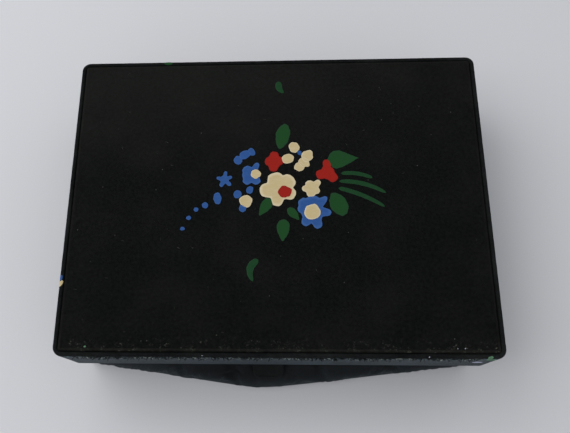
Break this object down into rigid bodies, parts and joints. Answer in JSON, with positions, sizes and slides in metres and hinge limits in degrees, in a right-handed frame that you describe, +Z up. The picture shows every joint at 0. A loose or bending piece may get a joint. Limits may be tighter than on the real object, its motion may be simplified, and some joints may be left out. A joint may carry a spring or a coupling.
{
  "type": "jewelry box",
  "caption": "Rectangular cloth-covered jewelry box with a deep hinged lid, snap tab, bowed soft front, mirror and lift-out tray with ring rolls.",
  "frame": {"origin": "on the underside of the box, below the middle of the lid", "axes": "+X to the right along the lid's width, +Y towards the hinges at the back, +Z up"},
  "size_m": [0.2, 0.1631, 0.054],
  "materials": {
    "black_faille": "black ribbed dress faille, slightly worn",
    "slate_faille": "rim cloth, faded blue-grey satin sheen",
    "velvet": "wine red velvet lining",
    "millboard": "grey millboard",
    "mirror": "silvered glass",
    "gilt": "thin gilt brass, polished and a little dulled",
    "ribbon": "satin ribbon"
  },
  "bodies": {
    "case": {"base_cover": "black_faille", "base_board": "millboard", "back_wall": "millboard", "left_wall": "millboard", "right_wall": "millboard", "back_rail": "black_faille", "front_wall": "black_faille", "case_cover": "black_faille", "wall_lining": "velvet", "floor_pad": "velvet", "long_divider": "velvet", "cross_dividers": "velvet", "tray_ledges": "velvet", "snap_stud": "gilt", "left_hinge_lower_leaf": "gilt", "right_hinge_lower_leaf": "gilt", "hinge_pins": "gilt", "lower_rivets": "gilt"},
    "lid": {"lid_board": "millboard", "rim_front": "millboard", "rim_back": "millboard", "rim_left": "millboard", "rim_right": "millboard", "rim_cover": "slate_faille", "lid_panel": "black_faille", "lid_piping": "black_faille", "ceiling_pad": "velvet", "mirror": "mirror", "mirror_frame": "gilt", "tab_root": "black_faille", "left_hinge_upper_leaf": "gilt", "right_hinge_upper_leaf": "gilt", "upper_rivets": "gilt"},
    "tab": {"closing_tab": "black_faille", "snap_socket": "gilt"},
    "tray": {"tray_shell": "velvet", "tray_pad": "velvet", "tray_partitions": "velvet", "ring_rolls": "velvet", "tray_pulls": "ribbon"}
  },
  "joints": [
    {"name": "lid_hinge", "type": "hinge", "parent": "case", "child": "lid", "pos_m": [0, 0.077, 0.02285], "axis": [-1, 0, 0], "range_deg": [0, 100]},
    {"name": "tab_fold", "type": "hinge", "parent": "lid", "child": "tab", "pos_m": [-0.004, -0.0731, 0.0223], "axis": [-1, 0, 0], "range_deg": [0, 40]},
    {"name": "tray_lift", "type": "slide", "parent": "case", "child": "tray", "axis": [0, 0, 1], "range_m": [0, 0.0355]}
  ],
  "couplings": [
    {"joint": "tray_lift", "follows": "lid_hinge", "m_per_rad": 0.02}
  ]
}
